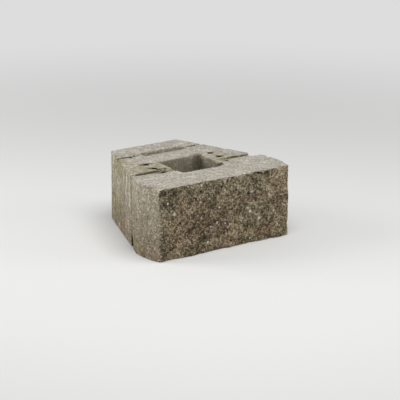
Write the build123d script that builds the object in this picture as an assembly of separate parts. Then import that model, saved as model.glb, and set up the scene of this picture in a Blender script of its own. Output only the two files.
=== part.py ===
from build123d import *
import math
import os
import random

# Split-face retaining-wall block, cast in one piece, in millimetres
# The split face looks towards -Y, the tail points to +Y and the block lies on its bed, Z = 0
# X = 0 is the middle of the block and Y = 0 is midway between its foremost stone and its tail

# Overall sizes
HEIGHT = 203.0
WIDTH = 457.0
DEPTH = 404.0

# Wings: each side bulges to its widest behind the face, and the right one ends in a shoulder
WING_RADIUS = 212.0
WING_CREST = 72.0
SHOULDER = 136.0
SHOULDER_ROUND = 7.0
NECK_SIDE = 190.0
NECK = 155.5

# Left wing, which runs flat into the flank from one distance behind the face to another
LEFT_FLAT_START = 100.0
LEFT_FLAT_END = 153.5
LEFT_NECK = 157.0
LEFT_NECK_INSET = 9.0

# Tapered rear body, which starts nearer to the face on the left
BODY_START = 168.0
LEFT_BODY_START = 161.0
FLANK_ANGLE = 20.5
TAIL_WIDTH = 224.0
TAIL_ROUND = 4.0

# Core through the block, a little right of the middle and wider at the top than on the bed
CORE_WIDTH = 143.0
CORE_DEPTH = 128.0
CORE_FRONT = 104.0
CORE_OFFSET = 3.0
CORE_ROUND = 8.0
CORE_DRAFT = 1.0

# Locating channel across the top and pin channel across the bed
TOP_CHANNEL = 147.0
TOP_CHANNEL_WIDTH = 27.0
TOP_CHANNEL_DEPTH = 4.0
PIN_CHANNEL_REAR = 160.0
PIN_CHANNEL_WIDTH = 26.0
PIN_CHANNEL_ROOF = 10.0
PIN_CHANNEL_HEIGHT = 35.0

# Pin holes, one row of three on each side of the core
PIN_HOLE_DIAMETER = 16.0
PIN_HOLE_DEPTH = 100.0
PIN_HOLE_SPREAD = 220.0
PIN_HOLE_FIRST = 143.0
PIN_HOLE_PITCH = 42.0
PIN_HOLES_A_SIDE = 3

# Break-off line for the tail: a groove across the top with a slot near its middle
BREAK_LINE = 320.0
GROOVE_WIDTH = 11.0
GROOVE_DEPTH = 9.0
SLOT_OFFSET = 11.0
SLOT_LENGTH = 144.0
SLOT_WIDTH = 32.0
SLOT_ROUND = 6.0

# Split face: flat facets of broken stone on broad waves, measured each way from the mean face
SPLIT_RELIEF = 6.0
FACET_SIZE = 9.0
FACET_SCATTER = 0.36
FACET_SHARE = 0.50
FACET_SEED = 11
# Each wave has a share of the relief, a length along X, a length along Z and a phase in turns
SPLIT_WAVES = [
    (0.34, 310.0, 420.0, 0.10),
    (0.26, 140.0, -190.0, 0.62),
    (0.24, 83.0, 120.0, 0.35),
    (0.16, -57.0, 66.0, 0.81),
]

# Stock left outside a surface so that a cut runs clear of it
CLEARANCE = 20.0


def behind_face(distance):
    """Y of a place that lies this far behind the mean split face"""
    return distance - (DEPTH - SPLIT_RELIEF) / 2


def wing_side(distance):
    """Half width of the wings at a distance behind the split face"""
    reach = distance - WING_CREST
    return WIDTH / 2 - WING_RADIUS + math.sqrt(WING_RADIUS**2 - reach**2)


def flank_side(distance):
    """Half width of the tapered rear body at a distance behind the split face"""
    return TAIL_WIDTH / 2 + (DEPTH - distance) * math.tan(math.radians(FLANK_ANGLE))


def plan_point(side, distance):
    """Point of the plan, this far to the right of the middle and behind the face"""
    return Vector(side, behind_face(distance))


def plan_outline():
    """Plan of the block, from the middle of its face round by the right, the tail and the left"""
    stock = -SPLIT_RELIEF - CLEARANCE
    right_corner = plan_point(wing_side(stock), stock)
    right_crest = plan_point(WIDTH / 2, WING_CREST)
    shoulder = plan_point(wing_side(SHOULDER), SHOULDER)
    right_neck = plan_point(NECK_SIDE, NECK)
    right_body = plan_point(flank_side(BODY_START), BODY_START)
    right_tail = plan_point(TAIL_WIDTH / 2, DEPTH)
    left_tail = plan_point(-TAIL_WIDTH / 2, DEPTH)
    left_body = plan_point(-flank_side(LEFT_BODY_START), LEFT_BODY_START)
    left_neck = plan_point(LEFT_NECK_INSET - flank_side(LEFT_NECK), LEFT_NECK)
    flat_end = plan_point(-flank_side(LEFT_FLAT_END), LEFT_FLAT_END)
    flat_start = plan_point(-wing_side(LEFT_FLAT_START), LEFT_FLAT_START)
    left_crest = plan_point(-WIDTH / 2, WING_CREST)
    left_corner = plan_point(-wing_side(stock), stock)
    edges = [
        ThreePointArc(right_corner, right_crest, shoulder),
        Polyline(shoulder, right_neck, right_body, right_tail, left_tail),
        Polyline(left_tail, left_body, left_neck, flat_end, flat_start),
        ThreePointArc(flat_start, left_crest, left_corner),
        Line(left_corner, right_corner),
    ]
    plan = make_face(Curve() + edges)
    plan = round_corner(plan, shoulder, SHOULDER_ROUND)
    plan = round_corner(plan, right_tail, TAIL_ROUND)
    return round_corner(plan, left_tail, TAIL_ROUND)


def round_corner(face, corner, radius):
    """Round the one corner of a flat face that stands at the given point"""
    nearest = face.vertices().sort_by_distance(corner)[0]
    return fillet(nearest, radius)


def wave_height(x, z):
    """Height of the broad waves over the mean split face, positive into the block"""
    total = 0.0
    for share, along_x, along_z, phase in SPLIT_WAVES:
        total += share * math.sin(math.tau * (x / along_x + z / along_z + phase))
    return total


def facet_corners():
    """Corners of the facets as rows of (x, height, z), scattered except along the border"""
    chance = random.Random(FACET_SEED)
    columns = 2 * math.ceil((WIDTH / 2 + FACET_SIZE) / FACET_SIZE)
    rows = math.ceil((HEIGHT + 2 * FACET_SIZE) / FACET_SIZE)
    grid = []
    for column in range(columns + 1):
        line = []
        for row in range(rows + 1):
            on_side = column in (0, columns)
            on_end = row in (0, rows)
            scatter = FACET_SCATTER * FACET_SIZE
            x = (column - columns / 2) * FACET_SIZE + chance.uniform(-scatter, scatter) * (not on_side)
            z = (row - 1) * FACET_SIZE + chance.uniform(-scatter, scatter) * (not on_end)
            height = wave_height(x, z) + FACET_SHARE * chance.uniform(-1, 1)
            line.append((x, height, z))
        grid.append(line)
    return grid


def split_corners():
    """Facet corners as points in the block, the foremost of them level with the relief"""
    grid = facet_corners()
    on_face = [h for line in grid for x, h, z in line if abs(x) < wing_side(0) and 0 < z < HEIGHT]
    scale = SPLIT_RELIEF / -min(on_face)
    points = []
    for line in grid:
        heights = [max(-SPLIT_RELIEF, min(SPLIT_RELIEF, scale * height)) for x, height, z in line]
        points.append([Vector(p[0], behind_face(h), p[2]) for p, h in zip(line, heights)])
    return points


def split_cutter():
    """Everything in front of the broken surface, closed by five flat sides"""
    grid = split_corners()
    front = behind_face(-SPLIT_RELIEF - CLEARANCE)
    faces = []
    for left, right in zip(grid, grid[1:]):
        for row in range(len(left) - 1):
            faces.append(Face(Wire.make_polygon([left[row], right[row], right[row + 1]])))
            faces.append(Face(Wire.make_polygon([left[row], right[row + 1], left[row + 1]])))
    low_side = [line[0] for line in grid]
    high_side = [line[-1] for line in grid]
    for border in (grid[0], grid[-1], low_side, high_side):
        start = Vector(border[0].X, front, border[0].Z)
        end = Vector(border[-1].X, front, border[-1].Z)
        faces.append(Face(Wire.make_polygon([start, *border, end])))
    corners = [grid[0][0], grid[-1][0], grid[-1][-1], grid[0][-1]]
    faces.append(Face(Wire.make_polygon([Vector(corner.X, front, corner.Z) for corner in corners])))
    return Solid(Shell(faces))


def core_cutter():
    """Core, drafted so that it narrows towards the bed"""
    middle = Plane.XY.offset(HEIGHT) * Pos(CORE_OFFSET, behind_face(CORE_FRONT + CORE_DEPTH / 2))
    mouth = middle * RectangleRounded(CORE_WIDTH, CORE_DEPTH, CORE_ROUND)
    return extrude(mouth, -HEIGHT, taper=CORE_DRAFT)


def top_channel_cutter():
    """Shallow channel from flank to flank across the top"""
    middle = Pos(0, behind_face(TOP_CHANNEL), HEIGHT)
    return middle * Box(2 * WIDTH, TOP_CHANNEL_WIDTH, 2 * TOP_CHANNEL_DEPTH)


def pin_channel_cutter():
    """Channel across the bed for the pins of the course below: upright behind, leaning in front"""
    profile = Polygon(
        (-PIN_CHANNEL_WIDTH, -CLEARANCE),
        (0, -CLEARANCE),
        (0, PIN_CHANNEL_HEIGHT),
        (-PIN_CHANNEL_ROOF, PIN_CHANNEL_HEIGHT),
        (-PIN_CHANNEL_WIDTH, 0),
        align=None,
    )
    rear = behind_face(PIN_CHANNEL_REAR)
    place = Plane(origin=(-WIDTH, rear, 0), x_dir=(0, 1, 0), z_dir=(1, 0, 0))
    return extrude(place * profile, 2 * WIDTH)


def hole_mouth(distance):
    """Height of the surface in which a pin hole opens: the top, or the floor of its channel"""
    in_channel = abs(distance - TOP_CHANNEL) < TOP_CHANNEL_WIDTH / 2
    return HEIGHT - TOP_CHANNEL_DEPTH if in_channel else HEIGHT


def pin_hole_cutters():
    """Blind pin holes in the top, a row on each side of the core"""
    holes = []
    for side in (-1, 1):
        for index in range(PIN_HOLES_A_SIDE):
            distance = PIN_HOLE_FIRST + index * PIN_HOLE_PITCH
            x = side * PIN_HOLE_SPREAD / 2
            mouth = Pos(x, behind_face(distance), hole_mouth(distance))
            holes.append(mouth * Cylinder(PIN_HOLE_DIAMETER / 2, 2 * PIN_HOLE_DEPTH))
    return holes


def break_line_cutters():
    """V groove across the top and the slot through the block on its line"""
    groove = Polygon(
        (-GROOVE_WIDTH / 2, 0),
        (0, -GROOVE_DEPTH),
        (GROOVE_WIDTH / 2, 0),
        align=None,
    )
    place = Plane(origin=(-WIDTH, behind_face(BREAK_LINE), HEIGHT), x_dir=(0, 1, 0), z_dir=(1, 0, 0))
    middle = Pos(SLOT_OFFSET, behind_face(BREAK_LINE), 0)
    slot = middle * RectangleRounded(SLOT_LENGTH, SLOT_WIDTH, SLOT_ROUND)
    return [extrude(place * groove, 2 * WIDTH), extrude(slot, HEIGHT)]


def build_block():
    """The cast block with its split face and all its hollows"""
    block = extrude(plan_outline(), HEIGHT)
    cutters = [core_cutter(), top_channel_cutter(), pin_channel_cutter()]
    cutters += pin_hole_cutters()
    cutters += break_line_cutters()
    cutters.append(split_cutter())
    for cutter in cutters:
        block -= cutter
    return block


os.makedirs("parts", exist_ok=True)
block = build_block().solids()[0]
block.label = "wall_block"
export_step(block, "parts/wall_block.step")
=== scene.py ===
import math

import bmesh
import bpy
from mathutils import Matrix, Vector, noise
from mathutils.bvhtree import BVHTree
from mathutils.kdtree import KDTree


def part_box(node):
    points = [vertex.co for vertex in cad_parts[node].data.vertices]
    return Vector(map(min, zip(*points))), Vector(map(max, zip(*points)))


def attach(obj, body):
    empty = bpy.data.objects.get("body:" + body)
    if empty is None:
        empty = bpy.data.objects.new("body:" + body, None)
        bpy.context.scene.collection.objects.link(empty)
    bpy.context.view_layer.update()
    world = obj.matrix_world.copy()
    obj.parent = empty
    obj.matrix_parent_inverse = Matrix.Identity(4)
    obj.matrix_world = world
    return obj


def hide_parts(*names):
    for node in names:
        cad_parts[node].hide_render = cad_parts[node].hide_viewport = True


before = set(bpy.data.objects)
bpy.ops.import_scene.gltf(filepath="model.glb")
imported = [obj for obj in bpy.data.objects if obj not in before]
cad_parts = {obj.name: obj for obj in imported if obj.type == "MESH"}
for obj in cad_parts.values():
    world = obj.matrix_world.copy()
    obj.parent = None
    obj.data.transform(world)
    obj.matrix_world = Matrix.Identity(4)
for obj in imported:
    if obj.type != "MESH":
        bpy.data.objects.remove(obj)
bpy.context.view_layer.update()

bl_info = {
    "name": "Split-face wall block",
    "version": (1, 0, 0),
    "blender": (4, 5, 0),
    "location": "View3D > Sidebar > Wall block",
    "description": "Cast concrete retaining-wall block with its split face, pores, chips and stains",
    "category": "Object",
}

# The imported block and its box, in metres
NODE = "wall_block"
BOX_LOW, BOX_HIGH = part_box(NODE)
MM = 0.001

# The mean split face, which lies behind the foremost stone
FACE_MEAN = 0.006
FACE_Y = BOX_LOW.y + FACE_MEAN

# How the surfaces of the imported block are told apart
SPLIT_DEPTH = 14 * MM
SPLIT_FACING = -0.6
ARRIS_ANGLE = math.radians(32)
ARRIS_STEP = 1.5 * MM
ARRIS_REACH = 12 * MM
SAME_POINT = 0.002 * MM
SLIVER = 0.001 * MM

# Seed of the vector noise, which would otherwise be drawn from the clock
NOISE_SEED = 11

# Numbers that scatter the random value of a cell, and the two kinds of cell that have one
CELL_SCATTER = 91.7
SEED_STEPS = (1.0, 2.3, 5.1)
STONE_SEED = 1.0
PORE_SEED = 4.0

# Ledges of broken stone: how much finer than the ledge size, share of the relief and seed
LEDGES = [
    (1.0, 1.0, 3.0),
    (2.3, 0.55, 7.0),
]
LEDGE_BEND = 0.28
LEDGE_BEND_PITCH = 1.7
LEDGE_SCATTER = 13.1
LEDGE_TILT = 1.5
LEDGE_STEP = 0.55
SPLIT_LEAN = 0.5

# Stones and sockets of the split face: reach in stone sizes, the random values that pick them,
# and their heights as shares of the stones' relief
STONE_REACH = 0.55
STONE_FROM = 0.60
STONE_LEAST = 0.5
STONE_GROWTH = 1.3
SOCKET_BELOW = 0.16
SOCKET_DEPTH = 1.6

# Sandy grain of the split face
GRAIN_SIZE = 3.4 * MM
FINE_GRAIN_SIZE = 1.9 * MM
FINE_GRAIN_SHARE = 0.5

# Faint waves of the cast faces as height and length, their drag lines, and their pores
CAST_WAVES = [
    (0.22 * MM, 26 * MM),
    (0.16 * MM, 5 * MM),
]
DRAG_HEIGHT = 0.06 * MM
DRAG_WIDTH = 3.2 * MM
DRAG_LENGTH = 46 * MM
PORE_BELOW = 0.20
PORE_REACH = 0.10
PORE_WIDENING = 0.5
PORE_LEAST = 0.4
PORE_DEEPENING = 2.5
PLAIN_ARRIS = 3.0 * MM

# Wear along the edges: rounding, crumbs, chips and the bites round the split face, each with a
# shift that keeps its pattern apart from the others
WEAR_SHIFT = Vector((9, 2, 5))
CRUMB_SHIFT = Vector((1, 8, 3))
CHIP_SHIFT = Vector((4, 4, 7))
BITE_SHIFT = Vector((3, 6, 1))
WEAR_LENGTH = 45 * MM
WEAR_LEAST = 0.6
WEAR_SPAN = 0.9
WEAR_AT_SPLIT = 0.35
WEAR_DEPTH = 0.30
CRUMB_SIZE = 5.5 * MM
CRUMB_DEPTH = 0.5 * MM
CRUMB_REACH = 5.0 * MM
CRUMB_SHARE = 0.1
CHIP_SIZE = 19 * MM
SMALL_CHIP_SIZE = 8 * MM
SMALL_CHIP_SHARE = 0.45
CHIP_FROM = 0.30
CHIP_FROM_AT_SPLIT = 0.10
CHIP_SPAN = 0.35
CHIP_REACH = 8.5 * MM
CHIP_CURVE = 1.5
BITE_SIZE = 6.5 * MM
LONG_BITE_SIZE = 15 * MM
LONG_BITE_SHARE = 0.6
BITE_DEPTH = 3.2 * MM
BITE_REACH = 6.0 * MM

# Rays that find how hollow a place is: how many, how far they look and where they start
HOLLOW_RAYS = 14
HOLLOW_REACH = 30 * MM
HOLLOW_LIFT = 0.5 * MM
HOLLOW_FADE = 0.6

# The camera looks at the mean split face at this height, moved aside and up in its own view
CAMERA_AIM_HEIGHT = 0.101
CAMERA_ASIDE = -0.06966
CAMERA_ABOVE = 0.03636
CAMERA_ROLL = math.radians(0.25)
SENSOR_WIDTH = 36.0

# Floor, and the square lights: name, the setting that holds the power, place and size, in metres
FLOOR_REACH = 20.0
FLOOR_ROUGHNESS = 0.9
LIGHTS = [
    ("key light", "key_power", (-0.1, -0.9, 2.6), 1.8),
    ("side light", "side_power", (-2.1, 1.5, 1.3), 1.6),
    ("front light", "front_power", (2.4, -2.0, 1.4), 1.6),
]

# Stones that the split face shows: spacing, share of places, radius, strength and colours
STONE_KINDS = [
    (0.0110, 0.26, 0.40, 0.75, [
        (0.030, 0.023, 0.014), (0.24, 0.20, 0.14), (0.050, 0.038, 0.024), (0.18, 0.13, 0.09)]),
    (0.0120, 0.16, 0.27, 0.90, [
        (0.60, 0.54, 0.42), (0.36, 0.27, 0.20), (0.66, 0.61, 0.49), (0.34, 0.28, 0.20)]),
    (0.0280, 0.20, 0.17, 0.90, [
        (0.72, 0.66, 0.54), (0.42, 0.33, 0.25), (0.62, 0.57, 0.47), (0.48, 0.38, 0.29)]),
]

# Growth and stains on the cast faces: centre, size along each axis and strength
ALGAE_PATCHES = [
    ((-0.150, 0.095, 0.190), (0.030, 0.090, 0.050), 0.50),
    ((-0.128, -0.010, 0.202), (0.078, 0.062, 0.014), 0.54),
    ((0.114, -0.018, 0.202), (0.052, 0.066, 0.014), 0.48),
    ((-0.203, -0.045, 0.150), (0.020, 0.020, 0.110), 0.40),
    ((-0.140, 0.140, 0.070), (0.030, 0.110, 0.050), 0.40),
    ((-0.215, -0.085, 0.020), (0.030, 0.030, 0.025), 0.35),
    ((-0.228, -0.120, 0.026), (0.030, 0.036, 0.018), 0.60),
]
RUST_PATCHES = [
    ((-0.165, 0.055, 0.032), (0.030, 0.060, 0.030), 0.55),
    ((-0.221, -0.160, 0.201), (0.016, 0.045, 0.006), 0.55),
    ((-0.215, -0.120, 0.010), (0.030, 0.060, 0.030), 0.35),
]

# Dark patches, mostly painted shade: along the rear walls of the top channel and the break-off groove, in
# the mouths of the pin holes, under the core's top lip and in its far right corner, and at the slit on
# the left; some are dirt round the pin holes
SHADE_AND_DIRT_PATCHES = [
    ((-0.150, -0.0390, 0.2005), (0.066, 0.0060, 0.0080), 1.00),
    ((0.150, -0.0390, 0.2005), (0.054, 0.0060, 0.0080), 0.95),
    ((-0.100, 0.1220, 0.1990), (0.052, 0.0070, 0.0110), 0.95),
    ((0.120, 0.1220, 0.1990), (0.034, 0.0070, 0.0110), 0.95),
    ((-0.110, 0.0315, 0.2020), (0.024, 0.0080, 0.0110), 1.50),
    ((-0.117, -0.0120, 0.2020), (0.014, 0.0110, 0.0110), 1.50),
    ((-0.106, -0.0290, 0.2020), (0.012, 0.0100, 0.0110), 1.40),
    ((-0.099, -0.0460, 0.2000), (0.013, 0.0100, 0.0110), 1.50),
    ((-0.088, -0.0330, 0.2020), (0.008, 0.0110, 0.0110), 1.00),
    ((-0.079, -0.0480, 0.2010), (0.010, 0.0080, 0.0110), 0.90),
    ((0.110, 0.0260, 0.2020), (0.014, 0.0105, 0.0110), 0.90),
    ((0.110, -0.0150, 0.2020), (0.014, 0.0105, 0.0110), 0.90),
    ((0.106, -0.0560, 0.1990), (0.012, 0.0100, 0.0110), 0.50),
    # painted shadow of the core's top lip on its right wall, and painted shade in the core's far right
    # corner
    ((0.0745, -0.0640, 0.1930), (0.006, 0.0220, 0.0170), 0.85),
    ((0.0680, 0.0330, 0.1100), (0.020, 0.0180, 0.3000), 0.62),
    # painted shade in the slit on the left
    ((-0.2090, -0.0540, 0.0220), (0.014, 0.0085, 0.0240), 1.60),
    ((-0.2110, -0.0610, 0.0160), (0.014, 0.0085, 0.0190), 1.60),
]

# Tinted regions of the split face, and a pale band at its left end (x -0.216) that is painted light
# lifting the shade of that edge: centre, size along each axis, strength and colour
SPLIT_TINTS_AND_PAINTED_LIGHT = [
    ((0.020, -0.200, 0.178), (0.240, 0.060, 0.034), 0.75, (0.226, 0.193, 0.118)),
    ((0.092, -0.200, 0.078), (0.060, 0.060, 0.040), 0.70, (0.262, 0.225, 0.136)),
    ((-0.050, -0.200, 0.082), (0.100, 0.060, 0.060), 0.75, (0.272, 0.194, 0.124)),
    ((0.083, -0.200, 0.130), (0.060, 0.060, 0.028), 0.75, (0.300, 0.220, 0.142)),
    ((-0.144, -0.200, 0.048), (0.060, 0.060, 0.055), 0.75, (0.245, 0.172, 0.106)),
    ((-0.193, -0.200, 0.165), (0.050, 0.060, 0.060), 0.70, (0.165, 0.140, 0.082)),
    ((0.130, -0.200, 0.030), (0.050, 0.060, 0.024), 0.60, (0.310, 0.205, 0.112)),
    ((0.175, -0.200, 0.175), (0.040, 0.060, 0.030), 0.60, (0.350, 0.265, 0.162)),
    # painted light: pale band that lifts the shaded left edge of the split face
    ((-0.216, -0.200, 0.060), (0.022, 0.060, 0.130), 0.90, (0.400, 0.330, 0.220)),
    ((-0.200, -0.200, 0.010), (0.050, 0.060, 0.024), 0.70, (0.340, 0.268, 0.166)),
]

# Single stones that stand out on the split face, and its darkest pits, painted near-black as painted
# shade:
# X, Z and radius in mm, and how far each reaches into the block
SPOT_REACH = 20 * MM
BRIGHT_STONES = [
    (-21, 123, 4.6), (23, 136, 3.6), (-80, 146, 3.6), (86, 149, 4.2), (82, 93, 3.6),
    (114, 68, 4.6), (-28, 80, 4.2), (-190, 162, 4.8), (-170, 129, 4.8), (60, 40, 3.4),
    (-120, 40, 3.8), (150, 130, 3.4), (-60, 30, 3.6), (165, 80, 3.4), (10, 60, 3.4),
]
DARK_PITS = [
    (-14, 178, 4.6), (35, 162, 3.2), (-80, 177, 3.6), (38, 105, 4.0), (-71, 109, 4.2),
    (75, 52, 4.0), (-150, 100, 4.6), (112, 198, 6.0), (120, 197, 4.5), (150, 50, 4.2),
]

# Near-black painted shade in the mouths of the pin channel and in the pin holes: centre, size and
# strength
HOLE_SHADE = [
    ((-0.196, -0.0460, 0.010), (0.030, 0.0180, 0.040), 4.0),
    ((0.182, -0.0500, 0.008), (0.034, 0.0200, 0.042), 4.0),
    ((-0.110, 0.0280, 0.150), (0.0150, 0.0150, 0.085), 4.0),
    ((-0.110, -0.0140, 0.150), (0.0150, 0.0150, 0.085), 4.0),
    ((-0.110, -0.0560, 0.150), (0.0150, 0.0150, 0.085), 4.0),
    ((0.110, 0.0280, 0.150), (0.0150, 0.0150, 0.085), 4.0),
    ((0.110, -0.0140, 0.150), (0.0150, 0.0150, 0.085), 4.0),
    ((0.110, -0.0560, 0.150), (0.0150, 0.0150, 0.085), 4.0),
]

# Crease beside the left flank, with painted light that cancels its shade and none of the painted shade of
# the hollows: centre, size and strength
PAINTED_LIGHT_CREASE = ((-0.204, -0.0400, 0.150), (0.034, 0.034, 0.108), 3.0)

# Painted shade that darkens the walls of the core and the slot: centre, size and strength
INNER_SHADE = [
    ((0.003, -0.031, 0.100), (0.150, 0.140, 0.300), 0.60),
    ((0.011, 0.121, 0.085), (0.140, 0.040, 0.220), 0.25),
]

# Numbers inside the shared patterns: grain, packed stones, flecks, stains and drag lines
GRAIN_FINER = 2.3
GRAIN_SPECKS = -0.35
GRAIN_LEVEL = 0.16
STONE_SWIRL = 0.8
STONE_BEND = 2.0
STONE_JOINT = 0.14
FLECK_SMALLEST = 0.55
FLECK_CORE = 0.7
STAIN_SWING = 2.4
STAIN_CORE = 0.35
STAIN_END = 1.1
STAIN_NOTCH = 13 * MM
DRAG_STRETCH = 0.07

# Dry concrete and the floor shine half as much as a plain surface
DULL_SHINE = 0.25

# Patterns of the two concretes: name, the shared group that makes it, and size in metres
CAST_PATTERNS = [
    ("grain", "grain", 0.0056), ("fine", "grain", 0.0022), ("mottle", "grain", 0.0150),
    ("clouds", "grain", 0.0380), ("drag", "drag", 0.0048), ("streaks", "drag", 0.0170),
]
SPLIT_PATTERNS = [
    ("grain", "grain", 0.0060), ("clouds", "grain", 0.0600), ("patches", "grain", 0.1100),
    ("small", "aggregate", 0.0048), ("large", "aggregate", 0.0140),
]

# What the patterns of the cast concrete do: two values of the pattern, and what they give
GRAIN_LIGHT = (0.30, 0.72, 0.62, 1.34)
FINE_LIGHT = (0.30, 0.72, 0.70, 1.30)
MOTTLE_LIGHT = (0.38, 0.62, 0.86, 1.13)
CLOUD_LIGHT = (0.36, 0.64, 0.90, 1.08)
DRAG_LIGHT = (0.36, 0.64, -0.22, 0.14)
STREAK_LIGHT = (0.38, 0.62, -0.17, 0.15)
LINES_IN_CLOUDS = (0.40, 0.60, 0.35, 1.25)
LINES_ALONG_BODY = (-0.046, -0.038, 0.35, 1.0)
FILM_IN_STREAKS = (0.36, 0.60, 0.15, 1.5)
FILM_IN_GRAIN = (0.36, 0.62, 0.5, 1.3)
# Upright faces grow darker and browner towards the bottom: from and to height, and the share at each
DARKER_LOW_BY_HEIGHT = (0.0, 0.200, 0.95, 0.05)
LOW_RAGGED = 0.10
SIDE_CONTRAST = 0.30
INNER_CONTRAST = 0.90
SIDE_SHARE = 0.55
CAST_ROUGHNESS = (0.3, 0.7, 0.96, 0.86)
CAST_DRAG_HEIGHT = 0.3
CAST_BUMP = (0.8, 0.0012)

# Where painted shade, painted light in the crease and broken concrete show, by how hollow a place is
# or by millimetres lost, and how ragged the stains are
LOSS_SHOWS = (0.9, 2.6, 0.0, 0.75)
CREASE_LIGHT_SHOWS = (0.18, 0.45)
HOLLOW_SHADE_SHOWS = (0.15, 0.75, 0.0, 0.75)
DEEP_SHADE_SHOWS = (0.55, 0.80, 0.0, 0.9)
HOLE_SHADE_SHOWS = (0.12, 0.30)
STAIN_RAGGED = 1.1
SHADE_AND_DIRT_RAGGED = 0.75
SHADE_AND_DIRT_NOTCH = 6 * MM
INNER_RAGGED = 0.3
HOLE_SHADE_RAGGED = 0.1

# Single grains of the cast faces: spacing, share of places, radius, strength and colour
CAST_FLECKS = [
    (0.011, 0.12, 0.26, 0.60, (0.12, 0.10, 0.07)),
    (0.009, 0.14, 0.30, 0.35, (0.66, 0.62, 0.54)),
]

# Light and dark of the split face: pattern, its output, two values of it, and what they give
SPLIT_LIGHT = [
    ("grain", "Tone", (0.36, 0.66, 0.60, 1.60)),
    ("small", "Tone", (0.0, 1.0, 0.55, 1.60)),
    ("small", "Body", (0.0, 1.0, 0.50, 1.14)),
    ("large", "Tone", (0.0, 1.0, 0.82, 1.20)),
    ("clouds", "Tone", (0.36, 0.64, 0.80, 1.18)),
    ("patches", "Tone", (0.40, 0.60, 0.82, 1.16)),
]
# Painted light from the right: the split face is made lighter towards its right end
PAINTED_LIGHT_ACROSS = (-0.200, 0.180, 0.94, 1.24)
SPLIT_CONTRAST = 1.25
WARM_IN_CLOUDS = (0.46, 0.60, 0.0, 0.50)
OLIVE_IN_PATCHES = (0.54, 0.42, 0.0, 0.50)
STONE_IN_LIGHT = (1.15, 2.8, 0.0, 0.80)
# Painted shade in the hollows of the split face, and painted light on its open places
PAINTED_SHADE_BY_HOLLOW = (0.08, 0.45, 1.12, 0.45)
TINT_RAGGED = 0.6
SPOT_RAGGED = 1.0
SPOT_NOTCH = 4.5 * MM
SPOT_STRENGTH = 1.6
SPLIT_ROUGHNESS = (0.3, 0.7, 0.98, 0.80)
SMALL_STONE_HEIGHT = 0.35
LARGE_STONE_HEIGHT = 0.5
SPLIT_BUMP = (1.0, 0.0046)

# Larger chips, at places that show: centre, radius and depth
CHIPS = [
    ((-0.2265, -0.1400, 0.2030), 0.0085, 0.0065),
    ((-0.2220, -0.1680, 0.2030), 0.0060, 0.0035),
    ((0.1250, -0.2000, 0.2030), 0.0100, 0.0080),
    ((0.0600, -0.2000, 0.2030), 0.0080, 0.0050),
    ((-0.1000, -0.2000, 0.2030), 0.0090, 0.0055),
    ((-0.1150, -0.0500, 0.2000), 0.0120, 0.0050),
]


class WallBlockShape(bpy.types.PropertyGroup):
    """Sizes of the relief that the casting and the splitting leave"""

    cell: bpy.props.FloatProperty(
        name="Mesh cell", description="Size of the mesh cells that carry the relief",
        default=1.6 * MM, unit="LENGTH", precision=5)
    draft_cell: bpy.props.FloatProperty(
        name="Draft mesh cell", description="Size of the mesh cells in a quick draft",
        default=3.0 * MM, unit="LENGTH", precision=5)
    triangles: bpy.props.IntProperty(
        name="Triangles", description="Most triangles that the finished block may hold",
        default=190000)
    arris_round: bpy.props.FloatProperty(
        name="Arris rounding", description="Width of the worn rounding along each cast edge",
        default=2.2 * MM, unit="LENGTH", precision=5)
    chip_depth: bpy.props.FloatProperty(
        name="Chip depth", description="Depth of the largest chips along the edges",
        default=4.5 * MM, unit="LENGTH", precision=5)
    ledge_size: bpy.props.FloatProperty(
        name="Ledge size", description="Width of the broken ledges on the split face",
        default=17 * MM, unit="LENGTH", precision=5)
    ledge_relief: bpy.props.FloatProperty(
        name="Ledge relief", description="Height of the broken ledges on the split face",
        default=1.1 * MM, unit="LENGTH", precision=5)
    stone_size: bpy.props.FloatProperty(
        name="Stone size", description="Size of the stones that the split face exposes",
        default=7.5 * MM, unit="LENGTH", precision=5)
    stone_relief: bpy.props.FloatProperty(
        name="Stone relief", description="How far the stones stand out or leave sockets",
        default=1.6 * MM, unit="LENGTH", precision=5)
    grain_relief: bpy.props.FloatProperty(
        name="Grain relief", description="Height of the sandy grain of the split face",
        default=0.7 * MM, unit="LENGTH", precision=5)
    pore_spacing: bpy.props.FloatProperty(
        name="Pore spacing", description="Spacing of the places where a cast face may have an air pore",
        default=13 * MM, unit="LENGTH", precision=5)
    pore_depth: bpy.props.FloatProperty(
        name="Pore depth", description="Depth of the air pores in the cast faces",
        default=1.6 * MM, unit="LENGTH", precision=5)


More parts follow.
